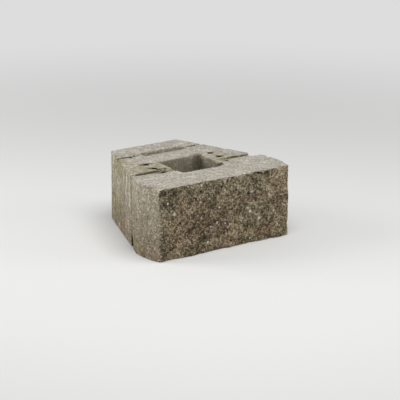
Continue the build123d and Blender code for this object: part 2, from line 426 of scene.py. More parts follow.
class WallBlockFinish(bpy.types.PropertyGroup):
    """Colours of the concrete"""

    cast_colour: bpy.props.FloatVectorProperty(
        name="Cast concrete", description="Colour of the clean cast faces",
        subtype="COLOR", size=3, default=(0.450, 0.419, 0.356))
    split_colour: bpy.props.FloatVectorProperty(
        name="Split concrete", description="Colour of the broken face between its stones",
        subtype="COLOR", size=3, default=(0.252, 0.193, 0.114))
    # Darker, browner colour towards the bottom of the upright faces
    low_colour: bpy.props.FloatVectorProperty(
        name="Damp soil", description="Brownish tint that rises from the ground",
        subtype="COLOR", size=3, default=(0.285, 0.229, 0.152))
    algae_colour: bpy.props.FloatVectorProperty(
        name="Algae", description="Olive growth in the channel, round the pin holes and on the flanks",
        subtype="COLOR", size=3, default=(0.278, 0.249, 0.112))
    rust_colour: bpy.props.FloatVectorProperty(
        name="Reddish stain", description="Reddish-brown iron tint in the concrete",
        subtype="COLOR", size=3, default=(0.30, 0.20, 0.14))
    side_colour: bpy.props.FloatVectorProperty(
        name="Side concrete", description="Yellower colour that the upright cast faces lean to",
        subtype="COLOR", size=3, default=(0.516, 0.453, 0.317))
    # Colour of the dark patches, mostly painted shade, and of the painted shade in hollows and in the
    # core
    shade_and_dirt_colour: bpy.props.FloatVectorProperty(
        name="Dirt", description="Dark dirt that gathers in hollows",
        subtype="COLOR", size=3, default=(0.085, 0.074, 0.045))
    # Near-black colour of the painted shade in holes, slits and pits
    deep_shade_colour: bpy.props.FloatVectorProperty(
        name="Damp soil in holes", description="Near-black soil deep in the holes and slits",
        subtype="COLOR", size=3, default=(0.020, 0.017, 0.011))
    broken_colour: bpy.props.FloatVectorProperty(
        name="Chipped concrete", description="Colour inside chips and worn edges of the cast faces",
        subtype="COLOR", size=3, default=(0.27, 0.235, 0.175))
    bright_colour: bpy.props.FloatVectorProperty(
        name="Bright stones", description="The few palest stones of the split face",
        subtype="COLOR", size=3, default=(0.800, 0.740, 0.610))
    # Pale colour painted as light into the crease beside the left flank
    crease_light_colour: bpy.props.FloatVectorProperty(
        name="Lime bloom", description="Pale lime that has washed into the crease beside the left flank",
        subtype="COLOR", size=3, default=(0.640, 0.590, 0.470))
    stone_colour: bpy.props.FloatVectorProperty(
        name="Bared stone", description="Pale grey stones bared on the split face",
        subtype="COLOR", size=3, default=(0.455, 0.395, 0.290))
    warm_colour: bpy.props.FloatVectorProperty(
        name="Warm patches", description="Brownish patches of the broken face",
        subtype="COLOR", size=3, default=(0.265, 0.189, 0.115))
    olive_colour: bpy.props.FloatVectorProperty(
        name="Olive patches", description="Greenish-grey patches of the broken face",
        subtype="COLOR", size=3, default=(0.230, 0.193, 0.113))


class WallBlockStage(bpy.types.PropertyGroup):
    """Floor, light and camera"""

    floor_colour: bpy.props.FloatVectorProperty(
        name="Floor", description="Colour of the plain floor",
        subtype="COLOR", size=3, default=(0.72, 0.72, 0.71))
    key_power: bpy.props.FloatProperty(
        name="Key light", description="Power of the large soft light above the block",
        default=50.0, unit="POWER")
    side_power: bpy.props.FloatProperty(
        name="Side light", description="Power of the soft light on the block's left",
        default=37.0, unit="POWER")
    front_power: bpy.props.FloatProperty(
        name="Front light", description="Power of the weak light in front of the split face",
        default=20.0, unit="POWER")
    sky: bpy.props.FloatProperty(
        name="Sky", description="Strength of the even light from all round",
        default=0.35)
    backdrop: bpy.props.FloatProperty(
        name="Backdrop", description="Brightness of the empty backdrop as the camera sees it",
        default=0.72)
    fade_start: bpy.props.FloatProperty(
        name="Fade start", description="Distance where the floor starts to fade into the backdrop",
        default=0.7, unit="LENGTH")
    fade_end: bpy.props.FloatProperty(
        name="Fade end", description="Distance where the floor has become the backdrop",
        default=2.6, unit="LENGTH")
    azimuth: bpy.props.FloatProperty(
        name="Azimuth", description="Where the camera stands round the block",
        default=math.radians(-35.12), subtype="ANGLE")
    elevation: bpy.props.FloatProperty(
        name="Elevation", description="How far the camera looks down",
        default=math.radians(17.09), subtype="ANGLE")
    distance: bpy.props.FloatProperty(
        name="Distance", description="Distance from the camera to the plane of its target",
        default=5.064, unit="LENGTH")
    focal_length: bpy.props.FloatProperty(
        name="Focal length", description="Focal length of the camera on a 36 mm sensor, in millimetres",
        default=166.99)


def move_towards(value, low, high):
    """How far a value has gone from low to high, eased and held between 0 and 1"""
    share = min(max((value - low) / (high - low), 0.0), 1.0)
    return share * share * (3 - 2 * share)


def cell_random(point, seed):
    """An even random number from 0 to 1 that belongs to a Voronoi cell's own point"""
    shift = Vector([step * seed for step in SEED_STEPS])
    return 0.5 + 0.5 * noise.cell(point * CELL_SCATTER + shift)


def merged_copy(node):
    """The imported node's own mesh, with its loose triangles joined"""
    mesh = bmesh.new()
    mesh.from_mesh(node.data)
    bmesh.ops.remove_doubles(mesh, verts=mesh.verts, dist=SAME_POINT)
    bmesh.ops.dissolve_degenerate(mesh, edges=mesh.edges, dist=SLIVER)
    return mesh


def is_split(face):
    """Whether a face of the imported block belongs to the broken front"""
    return face.calc_center_median().y < BOX_LOW.y + SPLIT_DEPTH and face.normal.y < SPLIT_FACING


def arris_points(mesh):
    """Points along every outward edge of the block, with 1 for those that bound the split face"""
    points = []
    for edge in mesh.edges:
        if len(edge.link_faces) != 2 or edge.calc_face_angle_signed() < ARRIS_ANGLE:
            continue
        start, end = edge.verts[0].co, edge.verts[1].co
        count = max(1, math.ceil((end - start).length / ARRIS_STEP))
        broken = 1.0 if any(is_split(face) for face in edge.link_faces) else 0.0
        for index in range(count + 1):
            points.append((start.lerp(end, index / count), broken))
    return points


def broken_relief(place, shape):
    """Height of the broken stone at a place on the split face"""
    height = 0.0
    for finer, share, seed in LEDGES:
        size = shape.ledge_size / finer
        relief = share * shape.ledge_relief
        bend = noise.noise_vector(place / size * LEDGE_BEND_PITCH) * LEDGE_BEND
        spot = place / size + bend
        distances, points = noise.voronoi(spot, distance_metric="DISTANCE")
        tilt = noise.noise_vector(points[0] * LEDGE_SCATTER + Vector((seed, seed, seed)))
        height += relief * (LEDGE_TILT * tilt.dot(spot - points[0]) + LEDGE_STEP * tilt.x)
    spot = place / shape.stone_size
    distances, points = noise.voronoi(spot, distance_metric="DISTANCE")
    kind = cell_random(points[0], STONE_SEED)
    dome = max(0.0, 1.0 - (distances[0] / STONE_REACH) ** 2)
    if kind > STONE_FROM:
        height += shape.stone_relief * dome * (STONE_LEAST + STONE_GROWTH * (kind - STONE_FROM))
    elif kind < SOCKET_BELOW:
        height -= SOCKET_DEPTH * shape.stone_relief * dome
    height += shape.grain_relief * noise.noise(place / GRAIN_SIZE)
    height += FINE_GRAIN_SHARE * shape.grain_relief * noise.noise(place / FINE_GRAIN_SIZE)
    return height


def cast_relief(place, shape):
    """Height of the faint waves, drag lines and pores of a cast face"""
    height = 0.0
    for rise, length in CAST_WAVES:
        height += rise * noise.noise(place / length)
    drawn = Vector((place.x / DRAG_WIDTH, place.y / DRAG_WIDTH, place.z / DRAG_LENGTH))
    height += DRAG_HEIGHT * noise.noise(drawn)
    spot = place / shape.pore_spacing
    distances, points = noise.voronoi(spot, distance_metric="DISTANCE")
    kind = cell_random(points[0], PORE_SEED)
    if kind < PORE_BELOW:
        reach = PORE_REACH + PORE_WIDENING * kind
        depth = shape.pore_depth * (PORE_LEAST + PORE_DEEPENING * kind)
        height -= depth * max(0.0, 1.0 - (distances[0] / reach) ** 2)
    return height


def arris_loss(place, distance, broken, shape):
    """Depth worn or chipped away at a distance from the nearest outward edge"""
    wear = 0.5 + 0.5 * noise.noise(place / WEAR_LENGTH + WEAR_SHIFT)
    reach = shape.arris_round * (WEAR_LEAST + WEAR_SPAN * wear) * (1.0 + WEAR_AT_SPLIT * broken)
    loss = 0.0
    if distance < reach:
        loss += WEAR_DEPTH * reach * (1.0 - distance / reach) ** 2
    crumble = noise.noise(place / CRUMB_SIZE + CRUMB_SHIFT)
    edge = max(0.0, 1.0 - distance / CRUMB_REACH)
    loss += CRUMB_DEPTH * edge * max(0.0, crumble + CRUMB_SHARE)
    chip = noise.noise(place / CHIP_SIZE + CHIP_SHIFT)
    chip += SMALL_CHIP_SHARE * noise.noise(place / SMALL_CHIP_SIZE)
    threshold = CHIP_FROM - CHIP_FROM_AT_SPLIT * broken
    if chip > threshold:
        size = min(1.0, (chip - threshold) / CHIP_SPAN)
        chip_edge = max(0.0, 1.0 - distance / (CHIP_REACH * (0.5 + size)))
        loss += shape.chip_depth * size * chip_edge ** CHIP_CURVE
    if broken:
        bite = noise.noise(place / BITE_SIZE + BITE_SHIFT)
        bite += LONG_BITE_SHARE * noise.noise(place / LONG_BITE_SIZE)
        loss += BITE_DEPTH * max(0.0, bite) * max(0.0, 1.0 - distance / BITE_REACH)
    for centre, radius, depth in CHIPS:
        near = (place - Vector(centre)).length / radius
        if near < 1.0:
            loss += depth * (1.0 - near * near)
    return loss


def sculpt(mesh_data, shape, packed, arrises):
    """Gives every vertex its relief, the same one each run"""
    noise.seed_set(NOISE_SEED)
    surface = BVHTree.FromBMesh(packed)
    packed.faces.ensure_lookup_table()
    split_faces = {face.index for face in packed.faces if is_split(face)}
    tree = KDTree(len(arrises))
    for index, (point, broken) in enumerate(arrises):
        tree.insert(point, index)
    tree.balance()
    places = [vertex.co.copy() for vertex in mesh_data.vertices]
    normals = [vertex.vector.copy() for vertex in mesh_data.vertex_normals]
    moved_places = []
    for place, normal in zip(places, normals):
        split = surface.find_nearest(place)[2] in split_faces
        _, index, distance = tree.find(place)
        if split:
            height = broken_relief(place, shape)
            direction = Vector((0.0, -1.0, 0.0)).lerp(normal, SPLIT_LEAN).normalized()
        else:
            height = cast_relief(place, shape) * move_towards(distance, 0.0, PLAIN_ARRIS)
            direction = normal
        if distance < ARRIS_REACH:
            height -= arris_loss(place, distance, arrises[index][1], shape)
        moved = place + direction * height
        moved_places.extend(min(max(moved[axis], BOX_LOW[axis]), BOX_HIGH[axis]) for axis in range(3))
    mesh_data.vertices.foreach_set("co", moved_places)
    mesh_data.update()


def finished_mesh(piece, kind, values):
    """The piece's mesh with one modifier worked in"""
    modifier = piece.modifiers.new(kind.title(), kind)
    for key, value in values.items():
        setattr(modifier, key, value)
    graph = bpy.context.evaluated_depsgraph_get()
    graph.update()
    mesh = bpy.data.meshes.new_from_object(piece.evaluated_get(graph))
    mesh.name = piece.name
    piece.modifiers.clear()
    old = piece.data
    piece.data = mesh
    bpy.data.meshes.remove(old)
    return mesh


def hold_in_box(mesh_data):
    """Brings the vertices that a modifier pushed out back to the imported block's box"""
    places = []
    for vertex in mesh_data.vertices:
        places.extend(min(max(vertex.co[axis], BOX_LOW[axis]), BOX_HIGH[axis]) for axis in range(3))
    mesh_data.vertices.foreach_set("co", places)
    mesh_data.update()


def sky_directions(count):
    """Directions spread evenly over the half of space above +Z, leaning towards it"""
    directions = []
    for index in range(count):
        rise = math.sqrt(1 - (index + 0.5) / count)
        turn = index * math.pi * (3 - math.sqrt(5))
        spread = math.sqrt(1 - rise * rise)
        directions.append(Vector((spread * math.cos(turn), spread * math.sin(turn), rise)))
    return directions


def store_exposure(mesh_data, packed):
    """Keeps for each vertex how hollow its place is and how deep the stone is broken away there"""
    places = [vertex.co.copy() for vertex in mesh_data.vertices]
    normals = [item.vector.copy() for item in mesh_data.vertex_normals]
    finished = BVHTree.FromPolygons(places, [tuple(polygon.vertices) for polygon in mesh_data.polygons])
    surface = BVHTree.FromBMesh(packed)
    directions = sky_directions(HOLLOW_RAYS)
    hollows = []
    losses = []
    for place, normal in zip(places, normals):
        turn = normal.to_track_quat("Z", "Y").to_matrix()
        start = place + normal * HOLLOW_LIFT
        total = 0.0
        for direction in directions:
            distance = finished.ray_cast(start, turn @ direction, HOLLOW_REACH)[3]
            if distance is not None:
                total += 1.0 - HOLLOW_FADE * distance / HOLLOW_REACH
        hollows.append(total / HOLLOW_RAYS)
        nearest, facing, _, gap = surface.find_nearest(place)
        losses.append(gap / MM if (place - nearest).dot(facing) < 0 else 0.0)
    for name, values in (("hollow", hollows), ("loss", losses)):
        attribute = mesh_data.attributes.new(name, "FLOAT", "POINT")
        attribute.data.foreach_set("value", values)


def mark_split_faces(mesh_data, packed):
    """Gives the faces of the broken front the second material"""
    surface = BVHTree.FromBMesh(packed)
    packed.faces.ensure_lookup_table()
    for polygon in mesh_data.polygons:
        nearest = surface.find_nearest(polygon.center)
        polygon.material_index = 1 if is_split(packed.faces[nearest[2]]) else 0


def new_group(name, inputs, outputs):
    """An empty shader node group with named sockets"""
    group = bpy.data.node_groups.new(name, "ShaderNodeTree")
    for label, kind, default in inputs:
        socket = group.interface.new_socket(name=label, in_out="INPUT", socket_type=kind)
        if default is not None:
            socket.default_value = default
    for label, kind in outputs:
        group.interface.new_socket(name=label, in_out="OUTPUT", socket_type=kind)
    return group, group.nodes.new("NodeGroupInput"), group.nodes.new("NodeGroupOutput")


def add(tree, kind, **values):
    """A new node with its properties set by name"""
    node = tree.nodes.new(kind)
    for key, value in values.items():
        setattr(node, key, value)
    return node


def math_node(tree, operation, first, second=None, clamp=False):
    """A maths node fed by sockets or plain numbers; gives back its output"""
    node = add(tree, "ShaderNodeMath", operation=operation, use_clamp=clamp)
    for index, value in enumerate((first, second)):
        if value is None:
            continue
        if isinstance(value, (int, float)):
            node.inputs[index].default_value = value
        else:
            tree.links.new(value, node.inputs[index])
    return node.outputs[0]


def map_range(tree, value, low, high, to_low=0.0, to_high=1.0):
    """A smooth step of a value from one range to another"""
    node = add(tree, "ShaderNodeMapRange", interpolation_type="SMOOTHSTEP")
    tree.links.new(value, node.inputs["Value"])
    for label, number in (("From Min", low), ("From Max", high), ("To Min", to_low), ("To Max", to_high)):
        if isinstance(number, (int, float)):
            node.inputs[label].default_value = number
        else:
            tree.links.new(number, node.inputs[label])
    return node.outputs["Result"]


def blend(tree, share, under, over, mode="MIX"):
    """Lays one colour over another by a share; each may be a socket or a colour"""
    node = add(tree, "ShaderNodeMix", data_type="RGBA", blend_type=mode)
    factor, first, second = node.inputs[0], node.inputs[6], node.inputs[7]
    for socket, value in ((factor, share), (first, under), (second, over)):
        if isinstance(value, bpy.types.NodeSocket):
            tree.links.new(value, socket)
        elif isinstance(value, (int, float)):
            socket.default_value = value
        else:
            socket.default_value = (*value, 1.0)
    return node.outputs[2]


def product(tree, first, *others):
    """Sockets or plain numbers multiplied together"""
    for value in others:
        first = math_node(tree, "MULTIPLY", first, value)
    return first


def textured(tree, colour, light):
    """A colour made lighter and darker by a pattern"""
    return blend(tree, 1.0, colour, light, "MULTIPLY")


def grain_group():
    """Sandy grain: fine light and dark mottling, with its height"""
    group, inside, outside = new_group(
        "sandy grain",
        [("Place", "NodeSocketVector", None), ("Size", "NodeSocketFloat", 0.004)],
        [("Tone", "NodeSocketFloat"), ("Height", "NodeSocketFloat")],
    )
    scale = math_node(group, "DIVIDE", 1.0, inside.outputs["Size"])
    coarse = add(group, "ShaderNodeTexNoise")
    coarse.inputs["Detail"].default_value = 5.0
    coarse.inputs["Roughness"].default_value = 0.68
    fine = add(group, "ShaderNodeTexVoronoi", feature="F1")
    for texture in (coarse, fine):
        group.links.new(inside.outputs["Place"], texture.inputs["Vector"])
    group.links.new(scale, coarse.inputs["Scale"])
    group.links.new(product(group, scale, GRAIN_FINER), fine.inputs["Scale"])
    specks = product(group, fine.outputs["Distance"], GRAIN_SPECKS)
    height = math_node(group, "ADD", coarse.outputs["Fac"], specks)
    group.links.new(math_node(group, "ADD", height, GRAIN_LEVEL), outside.inputs["Tone"])
    group.links.new(height, outside.inputs["Height"])
    return group


def aggregate_group():
    """Stones packed side by side with ragged outlines: a random number for each, and their joints"""
    group, inside, outside = new_group(
        "packed stones",
        [("Place", "NodeSocketVector", None), ("Size", "NodeSocketFloat", 0.006)],
        [("Tone", "NodeSocketFloat"), ("Body", "NodeSocketFloat")],
    )
    scale = math_node(group, "DIVIDE", 1.0, inside.outputs["Size"])
    swirl = add(group, "ShaderNodeTexNoise")
    swirl.inputs["Detail"].default_value = 2.0
    group.links.new(inside.outputs["Place"], swirl.inputs["Vector"])
    group.links.new(product(group, scale, STONE_SWIRL), swirl.inputs["Scale"])
    centred = add(group, "ShaderNodeVectorMath", operation="SUBTRACT")
    centred.inputs[1].default_value = (0.5, 0.5, 0.5)
    group.links.new(swirl.outputs["Color"], centred.inputs[0])
    bent = add(group, "ShaderNodeVectorMath", operation="SCALE")
    group.links.new(centred.outputs[0], bent.inputs[0])
    group.links.new(product(group, inside.outputs["Size"], STONE_BEND), bent.inputs["Scale"])
    moved = add(group, "ShaderNodeVectorMath", operation="ADD")
    group.links.new(inside.outputs["Place"], moved.inputs[0])
    group.links.new(bent.outputs[0], moved.inputs[1])
    cells = add(group, "ShaderNodeTexVoronoi", feature="F1")
    joints = add(group, "ShaderNodeTexVoronoi", feature="DISTANCE_TO_EDGE")
    for texture in (cells, joints):
        group.links.new(moved.outputs[0], texture.inputs["Vector"])
        group.links.new(scale, texture.inputs["Scale"])
    parts = add(group, "ShaderNodeSeparateColor")
    group.links.new(cells.outputs["Color"], parts.inputs["Color"])
    group.links.new(parts.outputs["Red"], outside.inputs["Tone"])
    body = map_range(group, joints.outputs["Distance"], 0.0, STONE_JOINT)
    group.links.new(body, outside.inputs["Body"])
    return group


def fleck_group():
    """Stones of the mix that show: a mask of scattered chips, each with a random number of its own"""
    group, inside, outside = new_group(
        "stone flecks",
        [("Place", "NodeSocketVector", None), ("Size", "NodeSocketFloat", 0.006),
         ("Share", "NodeSocketFloat", 0.2), ("Radius", "NodeSocketFloat", 0.42)],
        [("Mask", "NodeSocketFloat"), ("Kind", "NodeSocketFloat")],
    )
    stones = add(group, "ShaderNodeTexVoronoi", feature="F1")
    group.links.new(inside.outputs["Place"], stones.inputs["Vector"])
    group.links.new(math_node(group, "DIVIDE", 1.0, inside.outputs["Size"]), stones.inputs["Scale"])
    numbers = add(group, "ShaderNodeSeparateColor")
    group.links.new(stones.outputs["Color"], numbers.inputs["Color"])
    chosen = math_node(group, "LESS_THAN", numbers.outputs["Red"], inside.outputs["Share"])
    growth = map_range(group, numbers.outputs["Blue"], 0.0, 1.0, FLECK_SMALLEST, 1.0)
    radius = product(group, inside.outputs["Radius"], growth)
    inner = product(group, radius, FLECK_CORE)
    body = map_range(group, stones.outputs["Distance"], inner, radius, 1.0, 0.0)
    group.links.new(product(group, chosen, body), outside.inputs["Mask"])
    group.links.new(numbers.outputs["Green"], outside.inputs["Kind"])
    return group


def stain_group():
    """A soft blot with a ragged edge round a centre, stretched by a size along each axis"""
    group, inside, outside = new_group(
        "ragged stain",
        [("Place", "NodeSocketVector", None), ("Centre", "NodeSocketVector", None),
         ("Size", "NodeSocketVector", (0.05, 0.05, 0.05)), ("Ragged", "NodeSocketFloat", 0.5),
         ("Notch", "NodeSocketFloat", STAIN_NOTCH)],
        [("Mask", "NodeSocketFloat")],
    )
    shifted = add(group, "ShaderNodeVectorMath", operation="SUBTRACT")
    scaled = add(group, "ShaderNodeVectorMath", operation="DIVIDE")
    length = add(group, "ShaderNodeVectorMath", operation="LENGTH")
    group.links.new(inside.outputs["Place"], shifted.inputs[0])
    group.links.new(inside.outputs["Centre"], shifted.inputs[1])
    group.links.new(shifted.outputs[0], scaled.inputs[0])
    group.links.new(inside.outputs["Size"], scaled.inputs[1])
    group.links.new(scaled.outputs[0], length.inputs[0])
    cloud = add(group, "ShaderNodeTexNoise")
    cloud.inputs["Detail"].default_value = 4.0
    group.links.new(math_node(group, "DIVIDE", 1.0, inside.outputs["Notch"]), cloud.inputs["Scale"])
    group.links.new(inside.outputs["Place"], cloud.inputs["Vector"])
    swing = math_node(group, "SUBTRACT", cloud.outputs["Fac"], 0.5)
    swing = product(group, swing, inside.outputs["Ragged"], STAIN_SWING)
    total = math_node(group, "ADD", length.outputs["Value"], swing)
    group.links.new(map_range(group, total, STAIN_CORE, STAIN_END, 1.0, 0.0), outside.inputs["Mask"])
    return group


def drag_group():
    """Drag lines that the mould leaves up and down a cast side"""
    group, inside, outside = new_group(
        "mould drag lines",
        [("Place", "NodeSocketVector", None), ("Size", "NodeSocketFloat", 0.0048)],
        [("Tone", "NodeSocketFloat")],
    )
    stretch = add(group, "ShaderNodeMapping")
    stretch.inputs["Scale"].default_value = (1.0, 1.0, DRAG_STRETCH)
    lines = add(group, "ShaderNodeTexNoise")
    lines.inputs["Detail"].default_value = 4.0
    lines.inputs["Roughness"].default_value = 0.6
    group.links.new(math_node(group, "DIVIDE", 1.0, inside.outputs["Size"]), lines.inputs["Scale"])
    group.links.new(inside.outputs["Place"], stretch.inputs["Vector"])
    group.links.new(stretch.outputs["Vector"], lines.inputs["Vector"])
    group.links.new(lines.outputs["Fac"], outside.inputs["Tone"])
    return group


def place_group(tree, group, place, **values):
    """Puts a shared group in a material, with its own values"""
    node = add(tree, "ShaderNodeGroup", node_tree=group)
    tree.links.new(place, node.inputs["Place"])
    for label, value in values.items():
        node.inputs[label].default_value = value
    return node


def place_patterns(tree, groups, place, table):
    """The placed groups of a table of patterns, by name"""
    return {name: place_group(tree, groups[kind], place, Size=size) for name, kind, size in table}


def stain_mask(tree, groups, place, centre, size, ragged, notch=STAIN_NOTCH):
    """Where one stain lies"""
    values = {"Centre": centre, "Size": size, "Ragged": ragged, "Notch": notch}
    return place_group(tree, groups["stain"], place, **values).outputs["Mask"]


def start_material(name):
    """A material with only its shader, and the block's own coordinates"""
    material = bpy.data.materials.new(name)
    material.use_nodes = True
    tree = material.node_tree
    shader = tree.nodes["Principled BSDF"]
    shader.inputs["Specular IOR Level"].default_value = DULL_SHINE
    place = add(tree, "ShaderNodeTexCoord").outputs["Object"]
    return material, tree, shader, place


def bump(tree, shader, height, strength, distance):
    """Feeds a height to the shader's normal"""
    node = add(tree, "ShaderNodeBump")
    node.inputs["Strength"].default_value = strength
    node.inputs["Distance"].default_value = distance
    tree.links.new(height, node.inputs["Height"])
    tree.links.new(node.outputs["Normal"], shader.inputs["Normal"])


def attribute_value(tree, name):
    """A number that the mesh keeps for each vertex"""
    return add(tree, "ShaderNodeAttribute", attribute_name=name).outputs["Fac"]


def along(tree, vector, axis):
    """One coordinate of a vector"""
    parts = add(tree, "ShaderNodeSeparateXYZ")
    tree.links.new(vector, parts.inputs["Vector"])
    return parts.outputs[axis]


def upright_share(tree):
    """How upright the surface stands, from 0 on a level face to 1 on a plumb one"""
    slope = along(tree, add(tree, "ShaderNodeNewGeometry").outputs["Normal"], "Z")
    return math_node(tree, "SUBTRACT", 1.0, math_node(tree, "ABSOLUTE", slope), clamp=True)


def cast_tone(tree, patterns):
    """Light and dark of the sand in the cast concrete"""
    grain = map_range(tree, patterns["grain"].outputs["Tone"], *GRAIN_LIGHT)
    fine = map_range(tree, patterns["fine"].outputs["Tone"], *FINE_LIGHT)
    return product(tree, grain, fine)


def cast_light(tree, place, patterns, tone, upright, indoors):
    """Light and dark of the cast concrete, with its clouds and its drag lines"""
    clouds = patterns["clouds"].outputs["Tone"]
    wide = map_range(tree, clouds, *CLOUD_LIGHT)
    spots = map_range(tree, patterns["mottle"].outputs["Tone"], *MOTTLE_LIGHT)
    drag = map_range(tree, patterns["drag"].outputs["Tone"], *DRAG_LIGHT)
    streaks = map_range(tree, patterns["streaks"].outputs["Tone"], *STREAK_LIGHT)
    on_body = map_range(tree, along(tree, place, "Y"), *LINES_ALONG_BODY)
    in_clouds = map_range(tree, clouds, *LINES_IN_CLOUDS)
    lines = product(tree, math_node(tree, "ADD", drag, streaks), in_clouds, on_body, upright)
    light = product(tree, tone, wide, spots, math_node(tree, "ADD", 1.0, lines))
    contrast = math_node(tree, "ADD", 1.0, product(tree, upright, SIDE_CONTRAST))
    contrast = math_node(tree, "SUBTRACT", contrast, product(tree, indoors, INNER_CONTRAST))
    return math_node(tree, "POWER", light, contrast)


def lay_darker_low(tree, place, patterns, colour, finish, light, upright):
    """Makes the upright faces darker and browner towards the bottom"""
    ragged = math_node(tree, "SUBTRACT", patterns["clouds"].outputs["Tone"], 0.5)
    height = math_node(tree, "ADD", along(tree, place, "Z"), product(tree, ragged, LOW_RAGGED))
    rising = map_range(tree, height, *DARKER_LOW_BY_HEIGHT)
    low_tint = textured(tree, finish.low_colour, light)
    return blend(tree, product(tree, rising, upright), colour, low_tint)


def lay_stains(tree, groups, place, patterns, colour, finish, light):
    """Adds growth and reddish stains, which follow the streaks and the grain, and then dark patches that
    are mostly painted shade
    """
    film = product(
        tree,
        map_range(tree, patterns["streaks"].outputs["Tone"], *FILM_IN_STREAKS),
        map_range(tree, patterns["grain"].outputs["Tone"], *FILM_IN_GRAIN),
    )
    for patches, tint, ragged, notch, cover in (
        (ALGAE_PATCHES, finish.algae_colour, STAIN_RAGGED, STAIN_NOTCH, film),
        (RUST_PATCHES, finish.rust_colour, STAIN_RAGGED, STAIN_NOTCH, film),
        # dark patches: mostly painted shade in the channel, groove, core and slit, some dirt round the
        # pin holes
        (SHADE_AND_DIRT_PATCHES, finish.shade_and_dirt_colour, SHADE_AND_DIRT_RAGGED, SHADE_AND_DIRT_NOTCH, 1.0),
    ):
        stain = textured(tree, tint, light)
        for centre, size, share in patches:
            mask = stain_mask(tree, groups, place, centre, size, ragged, notch)
            colour = blend(tree, product(tree, mask, share, cover), colour, stain)
    return colour


def lay_painted_light_and_shade(tree, groups, place, colour, finish, tone, light):
    """Paints light into the crease beside the left flank, and painted shade, dark to near-black, in the
    other hollows and in the holes
    """
    hollow = attribute_value(tree, "hollow")
    centre, size, share = PAINTED_LIGHT_CREASE
    crease = stain_mask(tree, groups, place, centre, size, 0.0)
    crease = math_node(tree, "MULTIPLY", crease, share, clamp=True)
    # painted light that cancels the shade in the crease
    crease_light = product(tree, map_range(tree, hollow, *CREASE_LIGHT_SHOWS), crease)
    colour = blend(tree, crease_light, colour, textured(tree, finish.crease_light_colour, light))
    depth = product(tree, hollow, math_node(tree, "SUBTRACT", 1.0, crease))
    # painted shade: darker, down to near-black, where the place is hollow
    hollow_shade = textured(tree, finish.shade_and_dirt_colour, tone)
    colour = blend(tree, map_range(tree, depth, *HOLLOW_SHADE_SHOWS), colour, hollow_shade)
    colour = blend(tree, map_range(tree, depth, *DEEP_SHADE_SHOWS), colour, finish.deep_shade_colour)
    # near-black painted shade in the pin holes and the mouths of the pin channel
    sunk = map_range(tree, hollow, *HOLE_SHADE_SHOWS)
    for centre, size, share in HOLE_SHADE:
        mask = stain_mask(tree, groups, place, centre, size, HOLE_SHADE_RAGGED)
        colour = blend(tree, product(tree, mask, share, sunk), colour, finish.deep_shade_colour)
    return colour


def cast_material(finish, groups):
    """Smooth cast concrete with sand, drag lines, a darker and browner foot, growth and stains, painted
    light in the crease and painted shade in the hollows
    """
    material, tree, shader, place = start_material("cast concrete")
    patterns = place_patterns(tree, groups, place, CAST_PATTERNS)
    upright = upright_share(tree)
    inner = []
    for centre, size, share in INNER_SHADE:
        mask = stain_mask(tree, groups, place, centre, size, INNER_RAGGED)
        inner.append((product(tree, mask, upright), share))
    indoors = math_node(tree, "MAXIMUM", inner[0][0], inner[1][0])
    tone = cast_tone(tree, patterns)
    light = cast_light(tree, place, patterns, tone, upright, indoors)
    base = blend(tree, product(tree, upright, SIDE_SHARE), finish.cast_colour, finish.side_colour)
    colour = textured(tree, base, light)
    colour = lay_darker_low(tree, place, patterns, colour, finish, light, upright)
    colour = lay_stains(tree, groups, place, patterns, colour, finish, light)
    # painted shade on the walls of the core and the slot
    for mask, share in inner:
        colour = blend(tree, product(tree, mask, share), colour, finish.shade_and_dirt_colour)
    broken = map_range(tree, attribute_value(tree, "loss"), *LOSS_SHOWS)
    colour = blend(tree, broken, colour, textured(tree, finish.broken_colour, tone))
    colour = lay_painted_light_and_shade(tree, groups, place, colour, finish, tone, light)
    for size, share, radius, strength, tint in CAST_FLECKS:
        flecks = place_group(tree, groups["fleck"], place, Size=size, Share=share, Radius=radius)
        colour = blend(tree, product(tree, flecks.outputs["Mask"], strength), colour, tint)
    tree.links.new(colour, shader.inputs["Base Color"])
    roughness = map_range(tree, patterns["grain"].outputs["Tone"], *CAST_ROUGHNESS)
    tree.links.new(roughness, shader.inputs["Roughness"])
    lines = product(tree, patterns["drag"].outputs["Tone"], CAST_DRAG_HEIGHT)
    height = math_node(tree, "ADD", patterns["grain"].outputs["Height"], lines)
    bump(tree, shader, height, *CAST_BUMP)
    return material


def split_light(tree, place, patterns):
    """Light and dark of the split face, with painted light that makes it a little lighter towards its
    right end
    """
    factors = [map_range(tree, along(tree, place, "X"), *PAINTED_LIGHT_ACROSS)]
    for name, output, limits in SPLIT_LIGHT:
        factors.append(map_range(tree, patterns[name].outputs[output], *limits))
    return math_node(tree, "POWER", product(tree, *factors), SPLIT_CONTRAST)


def lay_regions(tree, groups, place, patterns, colour, finish, light):
    """Adds warm and olive clouds, the tinted regions with the painted light at the left end, and the
    palest paste
    """
    warm = map_range(tree, patterns["clouds"].outputs["Tone"], *WARM_IN_CLOUDS)
    colour = blend(tree, warm, colour, textured(tree, finish.warm_colour, light))
    olive = map_range(tree, patterns["patches"].outputs["Tone"], *OLIVE_IN_PATCHES)
    colour = blend(tree, olive, colour, textured(tree, finish.olive_colour, light))
    for centre, size, share, tint in SPLIT_TINTS_AND_PAINTED_LIGHT:
        mask = stain_mask(tree, groups, place, centre, size, TINT_RAGGED)
        colour = blend(tree, product(tree, mask, share), colour, textured(tree, tint, light))
    return blend(tree, map_range(tree, light, *STONE_IN_LIGHT), colour, finish.stone_colour)


